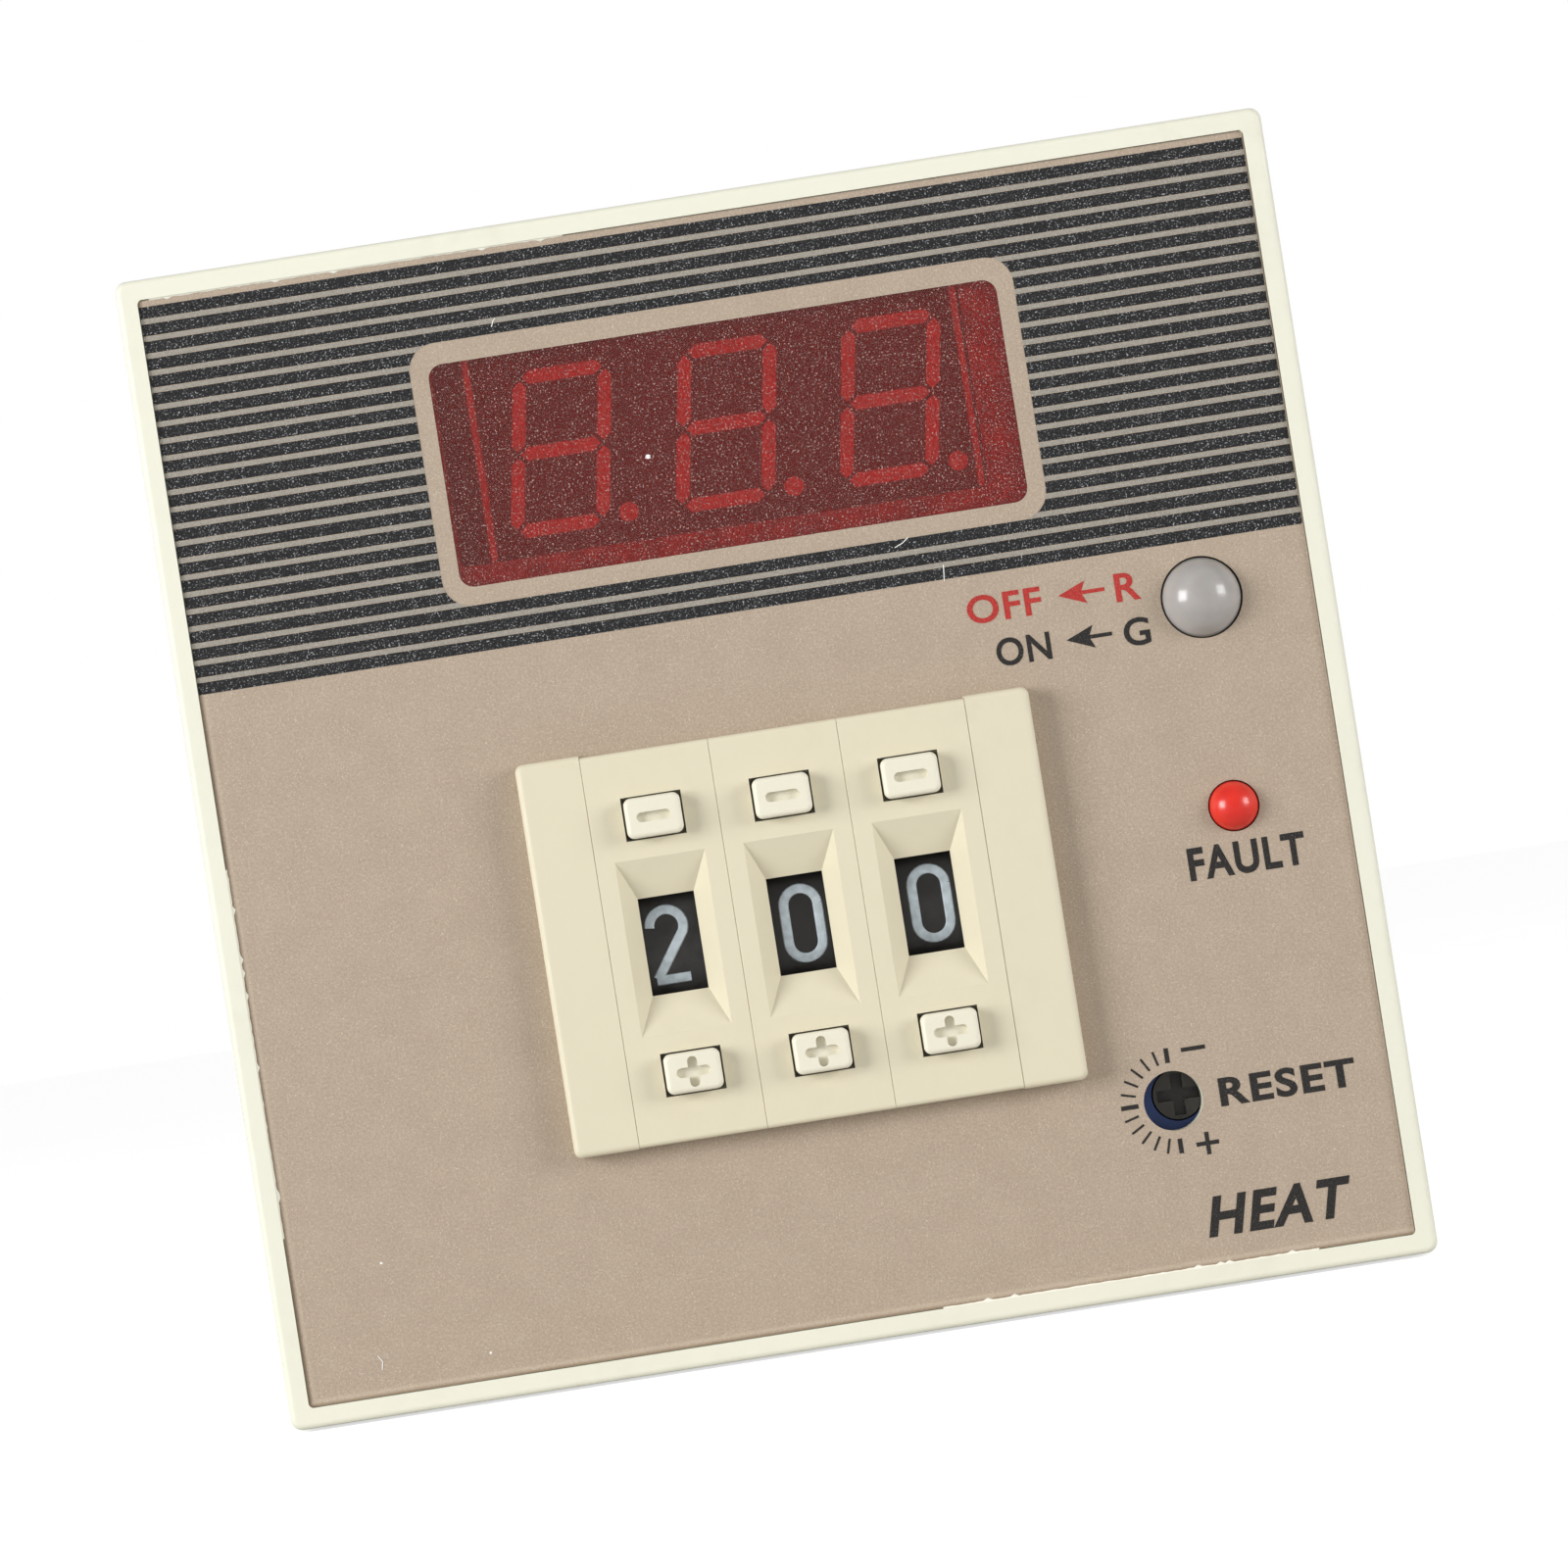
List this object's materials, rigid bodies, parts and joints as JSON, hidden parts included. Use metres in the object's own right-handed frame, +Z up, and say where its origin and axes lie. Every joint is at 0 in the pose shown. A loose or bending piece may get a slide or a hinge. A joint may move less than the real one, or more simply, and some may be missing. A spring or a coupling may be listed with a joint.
{
  "type": "panel temperature controller",
  "caption": "square panel-mount temperature controller with red digital display, pushwheel set-point switches, indicator lamps, reset trimmer, rear screw terminals and clamping brackets",
  "frame": {"origin": "middle of the panel cut-out, in the plane of the panel's front face, which is the plane of the bezel's back", "axes": "+X to the right and +Z up as seen from the front, +Y into the panel, towards the rear terminals"},
  "size_m": [0.0764, 0.1131, 0.072],
  "materials": {
    "ivory_case": "moulded ABS, fine satin texture",
    "printed_film": "matt printed film, taupe with dark stripes",
    "red_window": "matt translucent red",
    "display_shell": "white shell with a dark printed face",
    "display_segment": "milky resin",
    "milky_lamp": "diffused white resin",
    "red_lamp": "diffused red resin",
    "tinned_wire": "tinned",
    "blue_shell": "moulded blue",
    "dark_rotor": "moulded dark",
    "circuit_board": "green solder mask over glass laminate",
    "cream_switch": "moulded, satin",
    "cream_button": "moulded, slightly glossy",
    "wheel_black": "moulded black with pale numerals",
    "contact_brass": "plain",
    "spring_steel": "bright drawn",
    "zinc_steel": "zinc plated",
    "black_phenolic": "moulded phenolic",
    "nickel_steel": "nickel plated",
    "chip_black": "moulded epoxy",
    "core_steel": "varnished laminations",
    "winding_tape": "polyester tape",
    "relay_shell": "moulded blue",
    "capacitor_sleeve": "shrink sleeve",
    "black_nylon": "moulded nylon"
  },
  "bodies": {
    "instrument": {"bezel": "ivory_case", "capacitors": "capacitor_sleeve", "case": "ivory_case", "case_screws": "zinc_steel", "coded_board_1": "circuit_board", "coded_board_2": "circuit_board", "coded_board_3": "circuit_board", "component_leads": "tinned_wire", "detent_spring_1": "spring_steel", "detent_spring_2": "spring_steel", "detent_spring_3": "spring_steel", "display_body": "display_shell", "display_segments": "display_segment", "end_cap_left": "cream_switch", "end_cap_right": "cream_switch", "fault_lamp": "red_lamp", "front_board": "circuit_board", "front_film": "printed_film", "main_board": "circuit_board", "main_chips": "chip_black", "minus_spring_1": "spring_steel", "minus_spring_2": "spring_steel", "minus_spring_3": "spring_steel", "plus_spring_1": "spring_steel", "plus_spring_2": "spring_steel", "plus_spring_3": "spring_steel", "power_board": "circuit_board", "relay": "relay_shell", "status_lamp": "milky_lamp", "switch_housing_1": "cream_switch", "switch_housing_2": "cream_switch", "switch_housing_3": "cream_switch", "terminal_block": "black_phenolic", "terminal_clamps": "nickel_steel", "terminal_screws": "nickel_steel", "tie_rods": "zinc_steel", "transformer_core": "core_steel", "transformer_winding": "winding_tape", "trimmer_body": "blue_shell", "window_filter": "red_window"},
    "digit_wheel_1": {"digit_wheel_1": "wheel_black", "wiper_1": "contact_brass"},
    "plus_button_1": {"plus_button_1": "cream_button"},
    "minus_button_1": {"minus_button_1": "cream_button"},
    "digit_wheel_2": {"digit_wheel_2": "wheel_black", "wiper_2": "contact_brass"},
    "plus_button_2": {"plus_button_2": "cream_button"},
    "minus_button_2": {"minus_button_2": "cream_button"},
    "digit_wheel_3": {"digit_wheel_3": "wheel_black", "wiper_3": "contact_brass"},
    "plus_button_3": {"plus_button_3": "cream_button"},
    "minus_button_3": {"minus_button_3": "cream_button"},
    "trimmer_rotor": {"trimmer_rotor": "dark_rotor"},
    "bracket_left": {"bracket_left": "black_nylon"},
    "jack_foot_left": {"jack_foot_left": "black_nylon"},
    "jack_screw_left": {"jack_screw_left": "zinc_steel"},
    "bracket_right": {"bracket_right": "black_nylon"},
    "jack_foot_right": {"jack_foot_right": "black_nylon"},
    "jack_screw_right": {"jack_screw_right": "zinc_steel"}
  },
  "joints": [
    {"name": "digit_wheel_1_turn", "type": "hinge", "parent": "instrument", "child": "digit_wheel_1", "pos_m": [-0.008, 0.00155, -0.00972], "axis": [1, 0, 0], "continuous": true},
    {"name": "plus_button_1_press", "type": "slide", "parent": "instrument", "child": "plus_button_1", "axis": [0, 1, 0], "range_m": [0, 0.0016], "stiffness_N_per_m": 400, "springref_m": -0.0004, "deforming": ["plus_spring_1"]},
    {"name": "minus_button_1_press", "type": "slide", "parent": "instrument", "child": "minus_button_1", "axis": [0, 1, 0], "range_m": [0, 0.0016], "stiffness_N_per_m": 400, "springref_m": -0.0004, "deforming": ["minus_spring_1"]},
    {"name": "digit_wheel_2_turn", "type": "hinge", "parent": "instrument", "child": "digit_wheel_2", "pos_m": [0, 0.00155, -0.00972], "axis": [1, 0, 0], "continuous": true},
    {"name": "plus_button_2_press", "type": "slide", "parent": "instrument", "child": "plus_button_2", "axis": [0, 1, 0], "range_m": [0, 0.0016], "stiffness_N_per_m": 400, "springref_m": -0.0004, "deforming": ["plus_spring_2"]},
    {"name": "minus_button_2_press", "type": "slide", "parent": "instrument", "child": "minus_button_2", "axis": [0, 1, 0], "range_m": [0, 0.0016], "stiffness_N_per_m": 400, "springref_m": -0.0004, "deforming": ["minus_spring_2"]},
    {"name": "digit_wheel_3_turn", "type": "hinge", "parent": "instrument", "child": "digit_wheel_3", "pos_m": [0.008, 0.00155, -0.00972], "axis": [1, 0, 0], "continuous": true},
    {"name": "plus_button_3_press", "type": "slide", "parent": "instrument", "child": "plus_button_3", "axis": [0, 1, 0], "range_m": [0, 0.0016], "stiffness_N_per_m": 400, "springref_m": -0.0004, "deforming": ["plus_spring_3"]},
    {"name": "minus_button_3_press", "type": "slide", "parent": "instrument", "child": "minus_button_3", "axis": [0, 1, 0], "range_m": [0, 0.0016], "stiffness_N_per_m": 400, "springref_m": -0.0004, "deforming": ["minus_spring_3"]},
    {"name": "trimmer_rotor_turn", "type": "hinge", "parent": "instrument", "child": "trimmer_rotor", "pos_m": [0.0215, -0.005, -0.0238], "axis": [0, -1, 0], "range_deg": [-130, 130]},
    {"name": "bracket_left_slide", "type": "slide", "parent": "instrument", "child": "bracket_left", "axis": [0, -1, 0], "range_m": [0, 0.046]},
    {"name": "jack_foot_left_advance", "type": "slide", "parent": "bracket_left", "child": "jack_foot_left", "axis": [0, -1, 0], "range_m": [0, 0.0126]},
    {"name": "jack_screw_left_turn", "type": "hinge", "parent": "jack_foot_left", "child": "jack_screw_left", "pos_m": [-0.0359, 0.08, 0], "axis": [0, -1, 0], "range_deg": [0, 9000]},
    {"name": "bracket_right_slide", "type": "slide", "parent": "instrument", "child": "bracket_right", "axis": [0, -1, 0], "range_m": [0, 0.046]},
    {"name": "jack_foot_right_advance", "type": "slide", "parent": "bracket_right", "child": "jack_foot_right", "axis": [0, -1, 0], "range_m": [0, 0.0126]},
    {"name": "jack_screw_right_turn", "type": "hinge", "parent": "jack_foot_right", "child": "jack_screw_right", "pos_m": [0.0359, 0.08, 0], "axis": [0, -1, 0], "range_deg": [0, 9000]}
  ],
  "couplings": [
    {"joint": "jack_foot_left_advance", "follows": "jack_screw_left_turn", "m_per_rad": 0.000079577},
    {"joint": "jack_foot_right_advance", "follows": "jack_screw_right_turn", "m_per_rad": 0.000079577}
  ]
}
